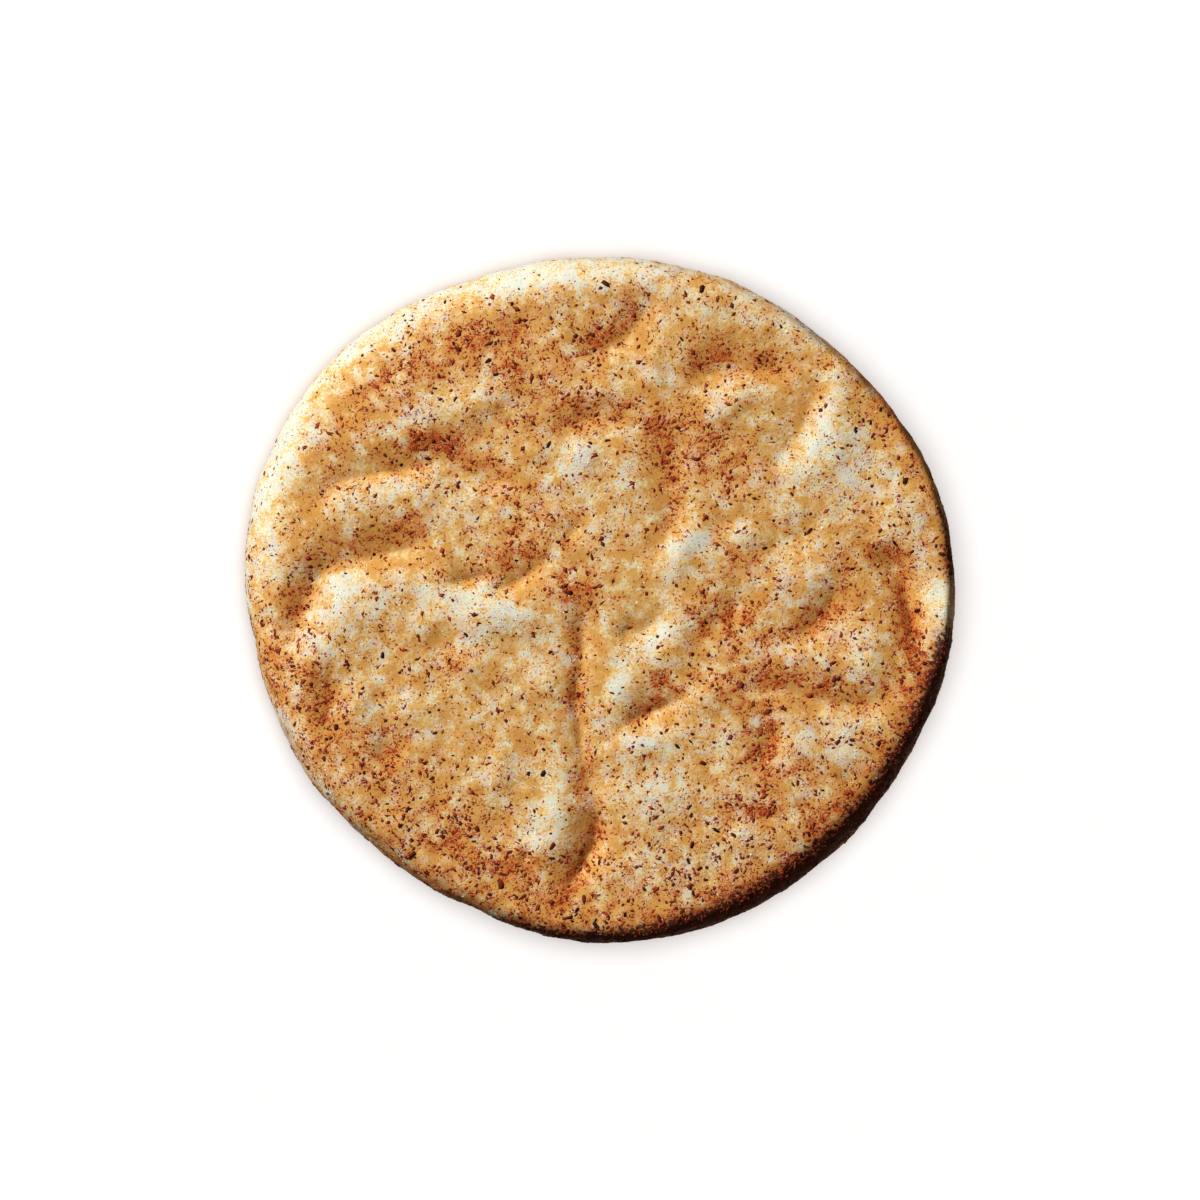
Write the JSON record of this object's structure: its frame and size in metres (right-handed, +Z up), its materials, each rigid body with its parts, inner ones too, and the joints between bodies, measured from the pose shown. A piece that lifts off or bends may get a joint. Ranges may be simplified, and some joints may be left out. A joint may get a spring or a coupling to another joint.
{
  "type": "snickerdoodle",
  "caption": "Round flat baked biscuit with a wrinkled, cinnamon-dusted top, a rounded rim and a flat underside.",
  "frame": {"origin": "on the flat underside, under the middle of the biscuit's bounding box", "axes": "+Z up out of the wrinkled top; +X along the longest width of the outline, to the right as seen from above with +Y away from the viewer"},
  "size_m": [0.078, 0.0752, 0.0094],
  "materials": {
    "dough": "matte"
  },
  "bodies": {
    "root": {"snickerdoodle": "dough"}
  },
  "joints": []
}
